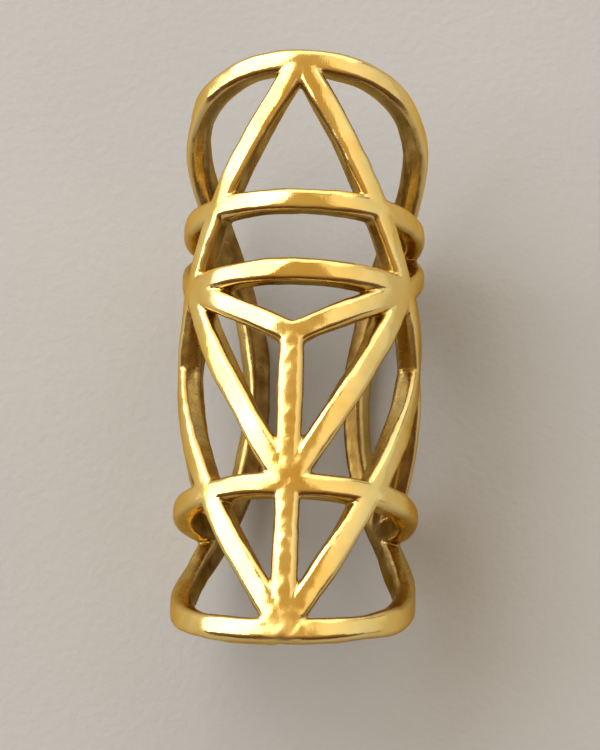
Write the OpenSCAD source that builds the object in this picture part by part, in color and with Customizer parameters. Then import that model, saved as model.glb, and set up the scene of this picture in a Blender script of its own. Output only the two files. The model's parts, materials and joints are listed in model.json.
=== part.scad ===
// Dreadlock bead: a round openwork emblem, rolled into a tube that is open along its back.
// It lies on its back along Y, with the gap underneath. The origin is on the surface that it lies
// on, below the middle of the emblem, which faces up.

/* [Emblem] */
// Diameter of the round emblem before it is rolled
disc_d = 25; // [24:0.5:26]
// Width of the bars
bar_w = 1; // [0.8:0.1:1.2]
// How far above the emblem's middle the three spokes meet
hub_rise = 0.3; // [0:0.1:0.6]
// Radius in the corners of the openings
corner_r = 0.1; // [0.05:0.05:0.3]

/* [Tube] */
// Diameter of the hole that the hair goes through
hole_d = 8; // [8:0.5:9]
// Thickness of the metal
wall = 1; // [0.8:0.1:1.2]

/* [Hidden] */

hole_r = hole_d / 2;
outer_r = hole_r + wall;
mid_r = hole_r + wall / 2; // the layer that keeps its length when the disc is rolled
rim_r = disc_d / 2;

// Flat pattern: a six-pointed star in a ring, with a small triangle and three spokes in it
ring_r = rim_r - bar_w / 2; // centre line of the ring, where the star's points are
crossing_r = ring_r / sqrt(3); // where the sides of the star's two triangles cross
inner_r = ring_r / 2; // corners of the small triangle
SPOKES = [30, 150, 270]; // directions of the spokes

// Fineness of the faces
side_step = 0.7; // longest straight stretch along an opening's side
arc_step = 10; // degrees of the ring in one straight stretch
corner_step = 30; // degrees of a corner in one straight stretch
rim_step = 3; // degrees of the rim in one straight stretch
sector_steps = 8; // flat faces on the outside of what is cut away at the back
round_fn = 120;

// What cuts through the wall starts inside the hole and ends outside the tube
cut_in_r = hole_r * 0.7;
cut_out_r = outer_r * 1.4;
margin = 1;

// The rim's straight stretches lie this far from its centre. Its left and right ends carry the bead.
rim_flat_r = rim_r * cos(rim_step / 2);
axis_z = -outer_r * cos(rim_flat_r / mid_r * 180 / PI);

function polar(r, a) = [r * cos(a), r * sin(a)];
function flat(lists) = [for (list = lists) for (item = list) item];
function mean(points) = [for (p = points) 1] * points / len(points);

// A length in the flat pattern, as degrees round the tube
function roll_angle(x) = x / mid_r * 180 / PI;

// A point of the tube, at an angle from its top
function on_tube(angle, y, r) = [r * sin(angle), y, r * cos(angle)];

// Inward normal of side k of a polygon whose corners run anticlockwise
function inward(poly, k) =
    let (side = poly[(k + 1) % len(poly)] - poly[k])
    [-side.y, side.x] / norm(side);

// Where two lines meet, each given by its normal and its distance from the origin
function meet(n1, d1, n2, d2) =
    [d1 * n2.y - d2 * n1.y, n1.x * d2 - n2.x * d1] / (n1.x * n2.y - n1.y * n2.x);

// Points round corner k of an opening, once the bars have taken half their width
function corner_arc(poly, k) =
    let (
        before = (k + len(poly) - 1) % len(poly),
        n1 = inward(poly, before),
        n2 = inward(poly, k),
        inset = bar_w / 2 + corner_r,
        centre = meet(n1, n1 * poly[k] + inset, n2, n2 * poly[k] + inset),
        turn = acos(n1 * n2),
        start = atan2(-n1.y, -n1.x),
        steps = ceil(turn / corner_step)
    )
    [for (i = [0:steps]) centre + polar(corner_r, start + turn * i / steps)];

// Points between the ends of two neighbouring corners
function side_points(from, to) =
    let (steps = ceil(norm(to - from) / side_step))
    [for (i = [1:1:steps - 1]) from + (to - from) * i / steps];

// Outline of an opening, from the corners where the centre lines of its bars meet
function opening_outline(poly) =
    let (arcs = [for (k = [0:len(poly) - 1]) corner_arc(poly, k)])
    flat([for (k = [0:len(poly) - 1])
        let (arc = arcs[k], next = arcs[(k + 1) % len(arcs)])
        concat(arc, side_points(arc[len(arc) - 1], next[0]))]);

// The ring from direction a to the star's next point
function ring_arc(a) = [for (i = [0:arc_step:60]) polar(ring_r, a + i)];

// The seven openings beside the spoke in direction a
function openings(a) = [
    [polar(inner_r, a), polar(crossing_r, a - 30), polar(ring_r, a)],
    [polar(inner_r, a), polar(ring_r, a), polar(crossing_r, a + 30)],
    [polar(ring_r, a + 60), polar(crossing_r, a + 90), polar(crossing_r, a + 30)],
    concat(ring_arc(a - 60), [polar(crossing_r, a - 30)]),
    concat(ring_arc(a), [polar(crossing_r, a + 30)]),
    [polar(inner_r, a), polar(crossing_r, a + 30), polar(crossing_r, a + 90), polar(inner_r, a + 120)],
    [[0, hub_rise], polar(inner_r, a), polar(inner_r, a + 120)]
];

// A block through the wall, with the outline of one opening
module opening_cut(outline) {
    n = len(outline);
    middle = mean(outline);
    points = flat([for (r = [cut_in_r, cut_out_r])
        [for (p = concat(outline, [middle])) on_tube(roll_angle(p.x), p.y, r)]]);
    out = n + 1;
    faces = flat([for (k = [0:n - 1])
        let (next = (k + 1) % n)
        [
            [k, out + k, out + next],
            [k, out + next, next],
            [n, k, next],
            [out + n, out + next, out + k]
        ]]);
    polyhedron(points, faces);
}

// Everything outside the disc's rim: a sector at each place along the tube, wide at its ends
module rim_cut() {
    places = [for (a = [-90 + rim_step / 2:rim_step:90]) polar(rim_r, a)];
    ends = [[places[0].x, -rim_r - margin], [places[0].x, rim_r + margin]];
    sections = concat([ends[0]], places, [ends[1]]);
    rows = len(sections);
    row_points = sector_steps + 2;
    points = flat([for (p = sections)
        let (first = roll_angle(p.x), sweep = 360 - 2 * first)
        concat(
            [[0, p.y, 0]],
            [for (i = [0:sector_steps]) on_tube(first + sweep * i / sector_steps, p.y, cut_out_r)]
        )]);
    walls = flat([for (row = [0:rows - 2], i = [0:row_points - 1])
        let (
            a = row * row_points + i,
            b = row * row_points + (i + 1) % row_points
        )
        [[a, b + row_points, b], [a, a + row_points, b + row_points]]]);
    caps = flat([for (i = [1:sector_steps])
        let (last = (rows - 1) * row_points)
        [[0, i, i + 1], [last, last + i + 1, last + i]]]);
    polyhedron(points, concat(walls, caps));
}

// A round bar along Y
module round_bar(r, length) {
    rotate([90, 0, 0])
    cylinder(r = r, h = length, center = true, $fn = round_fn);
}

module openwork_tube() {
    color("gold")
    translate([0, 0, axis_z])
    difference() {
        round_bar(outer_r, 2 * rim_flat_r);
        round_bar(hole_r, disc_d + 2 * margin);
        rim_cut();
        for (a = SPOKES, corners = openings(a)) opening_cut(opening_outline(corners));
    }
}

openwork_tube();
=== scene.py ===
import json
import math

import bpy
import numpy as np
from mathutils import Matrix, Vector


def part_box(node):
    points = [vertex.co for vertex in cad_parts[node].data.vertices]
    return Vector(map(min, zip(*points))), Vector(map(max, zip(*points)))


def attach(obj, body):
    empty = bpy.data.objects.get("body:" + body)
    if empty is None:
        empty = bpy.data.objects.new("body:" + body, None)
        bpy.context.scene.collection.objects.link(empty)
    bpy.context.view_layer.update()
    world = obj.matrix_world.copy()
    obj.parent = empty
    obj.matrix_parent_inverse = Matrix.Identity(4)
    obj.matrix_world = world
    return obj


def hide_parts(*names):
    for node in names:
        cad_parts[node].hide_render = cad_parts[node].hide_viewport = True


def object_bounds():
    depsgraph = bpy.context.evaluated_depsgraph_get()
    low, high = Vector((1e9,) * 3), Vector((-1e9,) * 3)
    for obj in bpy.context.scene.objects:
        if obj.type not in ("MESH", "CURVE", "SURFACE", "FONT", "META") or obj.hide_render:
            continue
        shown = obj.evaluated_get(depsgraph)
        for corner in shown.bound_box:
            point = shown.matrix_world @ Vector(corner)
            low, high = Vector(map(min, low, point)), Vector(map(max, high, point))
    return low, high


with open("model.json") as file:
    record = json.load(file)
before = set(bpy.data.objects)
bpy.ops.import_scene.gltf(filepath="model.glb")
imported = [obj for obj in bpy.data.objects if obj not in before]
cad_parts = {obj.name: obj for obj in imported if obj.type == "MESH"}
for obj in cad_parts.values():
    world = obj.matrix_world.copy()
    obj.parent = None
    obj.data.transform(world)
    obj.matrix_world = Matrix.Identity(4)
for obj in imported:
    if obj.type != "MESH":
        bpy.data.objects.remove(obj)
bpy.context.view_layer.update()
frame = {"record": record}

# The looks of a dreadlock bead: a round openwork emblem of polished gold plate, rolled into a tube.
# Its surface is worked out in the flat emblem, as a distance field with soft edges, and rolled up.
# Lengths are in metres.

MM = 0.001
BODY = "root"
NODE = "openwork_tube"

# Sizes of the tube, from the frame
low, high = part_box(NODE)
OUTER_R = (high.x - low.x) / 2
HOLE_R = frame["record"]["mounts"][0]["dims"]["r_mm"] * MM
MID_R = (OUTER_R + HOLE_R) / 2
WALL = OUTER_R - HOLE_R
RIM_R = (high.y - low.y) / 2
AXIS_Z = high.z - OUTER_R

# Sizes of the flat emblem
BAR_W = 1.0 * MM
RING_R = RIM_R - BAR_W / 2
INNER_R = RING_R / 2
HUB_RISE = 0.3 * MM
SPOKES = (30, 150, 270)  # directions, in degrees

# Shape of a bar: the radius of its edges, how far its faces fall from its middle to its sides,
# how softly a face turns into an edge, and how softly two bars meet
EDGE_R = 0.25 * MM
CROWN = 0.065 * MM
EDGE_BLEND = 0.06 * MM
CORNER_SOFTNESS = 0.05 * MM

# Unevenness of the metal: wobble and ripple from polishing, and grain of the casting. The grain is
# as strong as this at the lowest joint, and up the spoke it has a share of that.
WOBBLE = 0.02 * MM
RIPPLE = 0.004 * MM
GRAIN = 0.018 * MM
GRAINY_R = 0.9 * MM
SPOKE_GRAIN = 0.3
RIM_WALL = 0.6  # how much of the painted shade and rougher finish of the openings' walls the rim's wall gets

# Fineness of the mesh
MESH_STEP = 0.109 * MM
GRID_MARGIN = 3 * MESH_STEP
FILL_DEPTH = 0.01 * MM  # how deep in the metal a filled spot is taken to lie
SLOPE_STEP = 0.004 * MM  # how far to each side of a point the slope is measured
MIN_SQUARED_SLOPE = 0.1
FIT_ROUNDS = 3
TINY = 1e-300  # stands in for 0 in a logarithm


def polar(radius, degrees):
    angle = math.radians(degrees)
    return np.array([radius * math.cos(angle), radius * math.sin(angle)])


def emblem_bars():
    """Centre lines of the emblem's straight bars, each with its two ends."""
    bars = []
    for radius, first in ((RING_R, 90), (RING_R, 30), (INNER_R, 30)):
        corners = [polar(radius, first + turn) for turn in (0, 120, 240)]
        bars += [(corners[i], corners[(i + 1) % 3]) for i in range(3)]
    hub = np.array([0, HUB_RISE])
    for spoke in SPOKES:
        bars.append((hub, polar(INNER_R, spoke)))
        bars.append((polar(INNER_R, spoke), polar(RING_R, spoke)))
    return bars


BARS = emblem_bars()


def bar_distance(x, y, start, end):
    """Distance in the flat emblem from each point to a bar's centre line."""
    along = end - start
    share = ((x - start[0]) * along[0] + (y - start[1]) * along[1]) / (along @ along)
    share = np.clip(share, 0, 1)
    return np.hypot(x - start[0] - share * along[0], y - start[1] - share * along[1])


def soft_nearest(x, y):
    """Distance in the flat emblem to the nearest centre line, less where several are about as near."""
    total = np.exp(-np.abs(np.hypot(x, y) - RING_R) / CORNER_SOFTNESS)
    for start, end in BARS:
        total += np.exp(-bar_distance(x, y, start, end) / CORNER_SOFTNESS)
    return -CORNER_SOFTNESS * np.log(np.maximum(total, TINY))


def emblem_distance(x, y):
    """Distance outside the emblem's outline, negative in the metal, with soft inner corners."""
    bars = soft_nearest(x, y) - BAR_W / 2
    return np.maximum(bars, np.hypot(x, y) - RIM_R)


def waves(seed, count, shortest, longest):
    """Directions and phases of random waves across the metal."""
    rng = np.random.default_rng(seed)
    direction = rng.normal(size=(count, 3))
    direction /= np.linalg.norm(direction, axis=1)[:, None]
    length = rng.uniform(shortest, longest, count)
    return direction * (2 * math.pi / length)[:, None], rng.uniform(0, 2 * math.pi, count)


HAND_FINISH = waves(seed=5, count=24, shortest=1.1 * MM, longest=4.5 * MM)
TOOL_RIPPLE = waves(seed=11, count=24, shortest=0.55 * MM, longest=1.1 * MM)
CAST_GRAIN = waves(seed=8, count=16, shortest=0.38 * MM, longest=0.7 * MM)


def wave_height(x, y, n, waves_of):
    """Sum of the waves, about 1 high."""
    rates, phases = waves_of
    total = sum(np.sin(x * k[0] + y * k[1] + n * k[2] + p) for k, p in zip(rates, phases))
    return total * math.sqrt(2 / len(phases))


def graininess(x, y):
    """How grainy the casting was left: 1 at the lowest joint, less up the spoke, and 0 elsewhere."""
    joint = np.exp(-(x ** 2 + (y + RING_R) ** 2) / GRAINY_R ** 2)
    above_hub = np.maximum(y - HUB_RISE, 0)
    spoke = np.exp(-(x ** 2 + above_hub ** 2) / (BAR_W / 2) ** 2)
    return np.maximum(joint, SPOKE_GRAIN * spoke)


def rounding(x, y, n):
    """How far a point lies outside the bars' flat sides, and outside their flat faces."""
    outside = emblem_distance(x, y)
    slack = np.clip(1 + outside / (BAR_W / 2), 0, 1)
    return outside + EDGE_R, np.abs(n) - WALL / 2 + EDGE_R + CROWN * slack ** 2


def soft_positive(value):
    """The value where it is positive and 0 where it is negative, with a soft change between the two."""
    return (value + np.sqrt(value ** 2 + EDGE_BLEND ** 2)) / 2


def metal_distance(x, y, n):
    """Distance outside the metal. n is the height over the middle of the wall."""
    side, face = rounding(x, y, n)
    inside = np.minimum(np.maximum(side, face), 0)
    rounded = np.hypot(soft_positive(side), soft_positive(face)) + inside
    finish = WOBBLE * wave_height(x, y, n, HAND_FINISH) + RIPPLE * wave_height(x, y, n, TOOL_RIPPLE)
    grain = GRAIN * graininess(x, y) * wave_height(x, y, n, CAST_GRAIN)
    return rounded - EDGE_R + finish + grain


def sampled_field():
    """metal_distance on a grid that holds the whole flat emblem."""
    reach = RIM_R + GRID_MARGIN
    depth = WALL / 2 + GRID_MARGIN
    across = np.arange(-reach, reach + MESH_STEP, MESH_STEP)
    through = np.arange(-depth, depth + MESH_STEP, MESH_STEP)
    field = metal_distance(across[:, None, None], across[None, :, None], through[None, None, :])
    return field, np.array([across[0], across[0], through[0]])


def part(array, axis, start, stop):
    """The slice of an array from start to stop along one axis."""
    cut = [slice(None)] * 3
    cut[axis] = slice(start, stop)
    return array[tuple(cut)]


def fill_pinches(field):
    """Fills with metal the spots of the grid where metal would touch metal only along an edge."""
    all_but_last, all_but_first = (0, -1), (1, None)
    ends = (all_but_last, all_but_first)
    found = True
    while found:
        found = False
        for axis, other in ((0, 1), (0, 2), (1, 2)):
            corners = [part(part(field, axis, *a), other, *b) for a in ends for b in ends]
            metal = [corner < 0 for corner in corners]
            pinch = (metal[0] == metal[3]) & (metal[1] == metal[2]) & (metal[0] != metal[1])
            found = found or pinch.any()
            for corner in corners:
                corner[pinch] = np.minimum(corner[pinch], -FILL_DEPTH)


def surface_net(field, corner, step):
    """Points and quads of the surface where the field is zero, one point in each cell it crosses."""
    cells = tuple(np.array(field.shape) - 1)
    total = np.zeros((3,) + cells)
    count = np.zeros(cells)
    crossings = []
    for axis in range(3):
        first, second = part(field, axis, 0, -1), part(field, axis, 1, None)
        cross = (first < 0) != (second < 0)
        place = np.stack(np.indices(first.shape)).astype(float)
        place[axis] += np.where(cross, first / np.where(cross, first - second, 1), 0)
        place *= cross
        others = [k for k in range(3) if k != axis]
        for shift_a in (0, 1):
            for shift_b in (0, 1):
                cut = [slice(None)] * 3
                cut[others[0]] = slice(shift_a, shift_a + cells[others[0]])
                cut[others[1]] = slice(shift_b, shift_b + cells[others[1]])
                total += place[(slice(None),) + tuple(cut)]
                count += cross[tuple(cut)]
        crossings.append((axis, others, cross, first < 0))
    used = count > 0
    index = np.zeros(cells, int)
    index[used] = np.arange(used.sum())
    points = corner + step * (total[:, used] / count[used]).T
    quads = []
    for axis, others, cross, inside in crossings:
        where = np.argwhere(cross)
        around = []
        for back_a, back_b in ((1, 1), (0, 1), (0, 0), (1, 0)):
            cell = where.copy()
            cell[:, others[0]] -= back_a
            cell[:, others[1]] -= back_b
            around.append(index[tuple(cell.T)])
        quad = np.stack(around, 1)
        # Each quad has to face out of the metal, and along Y the cells are met the other way round
        turned = inside[cross] == (axis == 1)
        quad[turned] = quad[turned][:, ::-1]
        quads.append(quad)
    return points, np.concatenate(quads)


def slope(points):
    """Gradient of the metal's distance field."""
    columns = []
    for axis in range(3):
        ahead, behind = points.copy(), points.copy()
        ahead[:, axis] += SLOPE_STEP
        behind[:, axis] -= SLOPE_STEP
        columns.append((metal_distance(*ahead.T) - metal_distance(*behind.T)) / (2 * SLOPE_STEP))
    return np.stack(columns, 1)


def fitted(points):
    """The points, moved onto the metal's surface."""
    for _ in range(FIT_ROUNDS):
        gradient = slope(points)
        squared_slope = np.maximum((gradient ** 2).sum(1), MIN_SQUARED_SLOPE)
        points = points - gradient * (metal_distance(*points.T) / squared_slope)[:, None]
    return points


def roll_up(points):
    """The flat emblem, rolled into a tube along Y that lies on the floor."""
    angle = points[:, 0] / MID_R
    radius = MID_R + points[:, 2]
    return np.stack([radius * np.sin(angle), points[:, 1], AXIS_Z + radius * np.cos(angle)], 1)


def roll_up_normals(points, normals):
    """The normals of the flat emblem, turned with it as it is rolled up."""
    angle = points[:, 0] / MID_R
    across = normals[:, 0] * MID_R / (MID_R + points[:, 2])
    out = normals[:, 2]
    sideways = across * np.cos(angle) + out * np.sin(angle)
    up = out * np.cos(angle) - across * np.sin(angle)
    rolled = np.stack([sideways, normals[:, 1], up], 1)
    return rolled / np.linalg.norm(rolled, axis=1)[:, None]


def wear_and_shade_marks(x, y, n):
    """Where shade is painted or the finish differs, from 0 to 1 at each point.

    Shade is painted, darkening the metal, inside the tube and on the walls of the openings, where the
    finish is also rougher; the finish differs on the edges and where there is grain.
    """
    side, face = (soft_positive(outside) for outside in rounding(x, y, n))
    in_from_rim = np.clip((RIM_R - np.hypot(x, y)) / EDGE_R, RIM_WALL, 1)
    return {
        # The inside and wall marks carry painted shade as well as a rougher finish
        "inside": np.clip(0.5 - n / WALL, 0, 1),
        "wall": in_from_rim * side ** 2 / (side ** 2 + face ** 2),
        "edge": 2 * side * face / (side ** 2 + face ** 2),
        "grain": graininess(x, y),
    }


def add_mesh_object(name, points, faces, material):
    """A new mesh object in the scene, at the origin."""
    mesh = bpy.data.meshes.new(name)
    mesh.from_pydata(points, [], faces)
    mesh.materials.append(material)
    obj = bpy.data.objects.new(name, mesh)
    bpy.context.scene.collection.objects.link(obj)
    return obj


def build_bead(material):
    """The whole bead as one closed mesh, with its own normals and the marks that its finish and its
    painted shade need.
    """
    field, corner = sampled_field()
    fill_pinches(field)
    points, quads = surface_net(field, corner, MESH_STEP)
    points = fitted(points)
    bead = add_mesh_object("bead", roll_up(points), quads.tolist(), material)
    bead.data.shade_smooth()
    bead.data.normals_split_custom_set_from_vertices(roll_up_normals(points, slope(points)))
    for name, values in wear_and_shade_marks(*points.T).items():
        bead.data.attributes.new(name, "FLOAT", "POINT").data.foreach_set("value", values)
    return bead


class Nodes:
    """Short calls for building a material's or the world's nodes."""

    def __init__(self, owner):
        owner.use_nodes = True
        self.tree = owner.node_tree
        self.tree.nodes.clear()

    def add(self, kind, links=None, **values):
        """A node with its properties or inputs set, and its inputs linked."""
        node = self.tree.nodes.new("ShaderNode" + kind)
        for name, value in values.items():
            if hasattr(node, name):
                setattr(node, name, value)
            else:
                node.inputs[name.replace("_", " ")].default_value = value
        for name, source in (links or {}).items():
            self.tree.links.new(source, node.inputs[name])
        return node

    def millimetres(self):
        """The place on the piece, in millimetres."""
        place = self.add("TexCoord").outputs["Object"]
        scaled = self.add("VectorMath", {"Vector": place}, operation="SCALE", Scale=1 / MM)
        return scaled.outputs["Vector"]

    def stretched(self, place, turn, scale):
        """A place, turned and scaled, so that noise on it runs in lines."""
        return self.add("Mapping", {"Vector": place}, Rotation=turn, Scale=scale).outputs["Vector"]

    def noise(self, place, per_mm, detail):
        """Cloudy noise with a number of clouds to the millimetre."""
        return self.add("TexNoise", {"Vector": place}, Scale=per_mm, Detail=detail).outputs["Fac"]

    def attribute(self, name):
        """A mark on the mesh, from 0 to 1."""
        return self.add("Attribute", attribute_name=name).outputs["Fac"]

    def span(self, value, between, becomes=(0, 1)):
        """A value that lies between two others, spread over another range."""
        values = dict(zip(("From_Min", "From_Max", "To_Min", "To_Max"), between + becomes))
        return self.add("MapRange", {"Value": value}, **values).outputs["Result"]

    def math(self, operation, first, second):
        """Two values put together, each a number or another node's output."""
        node = self.add("Math", operation=operation)
        for socket, value in zip(node.inputs, (first, second)):
            if isinstance(value, (int, float)):
                socket.default_value = value
            else:
                self.tree.links.new(value, socket)
        return node.outputs["Value"]

    def scaled(self, value, factor):
        return self.math("MULTIPLY", value, factor)

    def blend(self, share, first, second):
        """Two colours, mixed by a share. Each is a colour or another node's output."""
        node = self.add("Mix", {"Factor": share}, data_type="RGBA")
        for socket, value in zip((node.inputs[6], node.inputs[7]), (first, second)):
            if isinstance(value, tuple):
                socket.default_value = (*value, 1)
            else:
                self.tree.links.new(value, socket)
        return node.outputs[2]

    def bump(self, height, depth, normal=None):
        """Relief of a height and depth, on top of another relief where there is one."""
        links = {"Height": height} if normal is None else {"Height": height, "Normal": normal}
        return self.add("Bump", links, Distance=depth, Strength=1.0).outputs["Normal"]

    def surface(self, colour, roughness, normal, **values):
        """The material's shader."""
        links = {"Base Color": colour, "Normal": normal}
        if isinstance(roughness, float):
            values["Roughness"] = roughness
        else:
            links["Roughness"] = roughness
        shader = self.add("BsdfPrincipled", links, **values)
        self.add("OutputMaterial", {"Surface": shader.outputs["BSDF"]})


# Colours of the metal: two that the polished faces vary between, worn edges, a dark painted shade for
# the inside of the tube and the walls of the openings, and what it reflects at a glancing angle
BRIGHT_GOLD = (1.0, 0.78, 0.3)
WARM_GOLD = (0.94, 0.64, 0.17)
PALE_GOLD = (1.0, 0.8, 0.37)
PAINTED_SHADE_GOLD = (0.12, 0.048, 0.009)
EDGE_TINT = (0.85, 0.62, 0.32)

# How much painted shade lies inside the tube and on the walls of the openings, where the metal is also
# left rougher as cast, and how patchy both are there
INSIDE_SHADE_AND_CAST = 0.95
WALL_SHADE_AND_CAST = 0.6
SHADE_AND_CAST_PATCHES = (0.65, 1)

# Shares of the way through the wall between which the outside's polish turns into the inside's painted
# shade and rougher finish
INSIDE_STARTS = (0.5, 0.95)

# How much paler the edges are worn
EDGE_WEAR = 0.45

# Roughness of the polish, from its clearest to its most smeared, and what cast metal and grain add
POLISH = (0.1, 0.2)
CAST_ROUGHNESS = 0.22
GRAIN_ROUGHNESS = 0.25

# Depth of the fine lines left by polishing and of the metal's skin, and how much of the skin shows
# on polished and on rough metal
LINE_DEPTH = 0.0022 * MM
SKIN_DEPTH = 0.009 * MM
SKIN_SHOWS = (0.4, 1.4)


def gold_material():
    """Gold plate: polished outside, paler on its worn edges, and darkened with painted shade and left
    rougher inside and in the openings.
    """
    material = bpy.data.materials.new("polished_gold")
    nodes = Nodes(material)
    place = nodes.millimetres()
    wall, edge, grain = (nodes.attribute(name) for name in ("wall", "edge", "grain"))
    inside = nodes.span(nodes.attribute("inside"), INSIDE_STARTS)
    # Painted shade, with a rougher finish, inside the tube and on the walls of the openings
    shade_and_cast = nodes.math("MAXIMUM", nodes.scaled(inside, INSIDE_SHADE_AND_CAST), nodes.scaled(wall, WALL_SHADE_AND_CAST))
    patchy = nodes.span(nodes.noise(place, per_mm=1.1, detail=4), (0.25, 0.7), SHADE_AND_CAST_PATCHES)
    shade_and_cast = nodes.math("MULTIPLY", shade_and_cast, patchy)

    blotches = nodes.span(nodes.noise(place, per_mm=0.45, detail=3), (0.35, 0.68))
    colour = nodes.blend(blotches, BRIGHT_GOLD, WARM_GOLD)
    colour = nodes.blend(nodes.scaled(edge, EDGE_WEAR), colour, PALE_GOLD)
    # Painted shade: the inside of the tube and the walls of the openings are darkened towards a dark
    # brown
    colour = nodes.blend(shade_and_cast, colour, PAINTED_SHADE_GOLD)

    roughness = nodes.span(nodes.noise(place, per_mm=1.3, detail=4), (0.3, 0.75), POLISH)
    roughness = nodes.math("ADD", roughness, nodes.scaled(shade_and_cast, CAST_ROUGHNESS))
    roughness = nodes.math("ADD", roughness, nodes.scaled(grain, GRAIN_ROUGHNESS))

    # The fine lines left by polishing run in two directions
    lines_a = nodes.noise(nodes.stretched(place, (0.3, 0.2, 0.5), (1.2, 26, 26)), per_mm=1, detail=2)
    lines_b = nodes.noise(nodes.stretched(place, (-0.4, 0.9, -0.7), (22, 1.4, 22)), per_mm=1, detail=2)
    normal = nodes.bump(nodes.math("ADD", lines_a, lines_b), LINE_DEPTH)
    shows = nodes.span(nodes.math("MAXIMUM", shade_and_cast, grain), (0, 1), SKIN_SHOWS)
    skin = nodes.math("MULTIPLY", nodes.noise(place, per_mm=6.5, detail=3), shows)
    normal = nodes.bump(skin, SKIN_DEPTH, normal)
    nodes.surface(colour, roughness, normal, Metallic=1.0, Specular_Tint=(*EDGE_TINT, 1))
    return material


BOARD = (0.45, 0.46, 0.475)
PALER_BOARD = (0.49, 0.498, 0.513)
BOARD_ROUGHNESS = 0.8
BOARD_SPECULAR = 0.1
BOARD_RELIEF = 0.02 * MM
FLOOR_REACH = 1.5


def floor_material():
    """Pale matt board with faint mottling."""
    material = bpy.data.materials.new("pale_board")
    nodes = Nodes(material)
    place = nodes.millimetres()
    mottling = nodes.span(nodes.noise(place, per_mm=0.05, detail=4), (0.3, 0.7))
    colour = nodes.blend(mottling, BOARD, PALER_BOARD)
    normal = nodes.bump(nodes.noise(place, per_mm=3, detail=4), BOARD_RELIEF)
    nodes.surface(colour, BOARD_ROUGHNESS, normal, Specular_IOR_Level=BOARD_SPECULAR)
    return material


def build_floor(height):
    near, far = -FLOOR_REACH, FLOOR_REACH
    corners = [(near, near, height), (far, near, height), (far, far, height), (near, far, height)]
    return add_mesh_object("floor", corners, [(0, 1, 2, 3)], floor_material())


# The middle of the tube, which the camera and the lights look at
CENTRE = Vector((0, 0, AXIS_Z))


def from_angles(azimuth, elevation, distance):
    """A place round the bead: azimuth 0 is in front of its lower end, and grows towards +X."""
    a, e = math.radians(azimuth), math.radians(elevation)
    towards = Vector((math.cos(e) * math.sin(a), -math.cos(e) * math.cos(a), math.sin(e)))
    return CENTRE + towards * distance


def add_aimed(name, data, place, roll=0.0):
    """A camera or a light at a place, looking at the bead."""
    obj = bpy.data.objects.new(name, data)
    bpy.context.scene.collection.objects.link(obj)
    turn = (CENTRE - place).to_track_quat("-Z", "Y").to_matrix().to_4x4()
    obj.matrix_world = Matrix.Translation(place) @ turn @ Matrix.Rotation(math.radians(roll), 4, "Z")
    return obj


LIGHT_DISTANCE = 1.2


def add_softbox(name, azimuth, elevation, size, power):
    light = bpy.data.lights.new(name, "AREA")
    light.shape = "RECTANGLE"
    light.size, light.size_y = size
    light.energy = power
    add_aimed(name, light, from_angles(azimuth, elevation, LIGHT_DISTANCE))


# The photograph's viewing angle and distance, with the bead larger in the frame
CAMERA_PLACE = from_angles(azimuth=14.7, elevation=72.4, distance=0.2067)
CAMERA_ROLL = -13.6
LENS = 241.5
NEAREST_SEEN = 0.01


def add_camera():
    camera = bpy.data.cameras.new("camera")
    camera.lens = LENS
    camera.clip_start = NEAREST_SEEN
    bpy.context.scene.camera = add_aimed("camera", camera, CAMERA_PLACE, CAMERA_ROLL)


ROOM = (0.145, 0.137, 0.128)
CEILING = (0.56, 0.39, 0.17)
DARK_FRONT = (0.11, 0.045, 0.02)

# Where these colours turn into each other, on a ball of radius 1 round the bead: by height for the
# ceiling and for the top of the dark front, and along Y for the back of the dark front
CEILING_EDGE = (0.15, 0.85)
FRONT_TOP = (0.45, 0.85)
FRONT_BACK = (-0.7, 0.1)
DARK_OVERHEAD = 0.2  # how much of the dark there is above its top


def add_world():
    """A dim room with a warm ceiling, dark and low in front of the bead's lower end."""
    world = bpy.data.worlds.new("studio")
    nodes = Nodes(world)
    place = nodes.add("TexCoord").outputs["Generated"]
    direction = nodes.add("SeparateXYZ", {"Vector": place}).outputs
    colour = nodes.blend(nodes.span(direction["Z"], CEILING_EDGE), ROOM, CEILING)
    front = nodes.span(direction["Y"], FRONT_BACK, (1, 0))
    low_down = nodes.span(direction["Z"], FRONT_TOP, (1, DARK_OVERHEAD))
    colour = nodes.blend(nodes.math("MULTIPLY", front, low_down), colour, DARK_FRONT)
    background = nodes.add("Background", {"Color": colour}, Strength=1.0)
    nodes.add("OutputWorld", {"Surface": background.outputs["Background"]})
    bpy.context.scene.world = world


bead = build_bead(gold_material())
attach(bead, BODY)
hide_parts(NODE)
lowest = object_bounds()[0][2]
build_floor(lowest)
add_softbox("key", azimuth=240, elevation=33, size=(1.45, 1.5), power=21)
add_softbox("fill", azimuth=109, elevation=32, size=(1.2, 1.5), power=3.2)
add_softbox("back", azimuth=180, elevation=26, size=(1.9, 1.1), power=8.5)
add_world()
add_camera()
bpy.context.scene.view_settings.view_transform = "Standard"
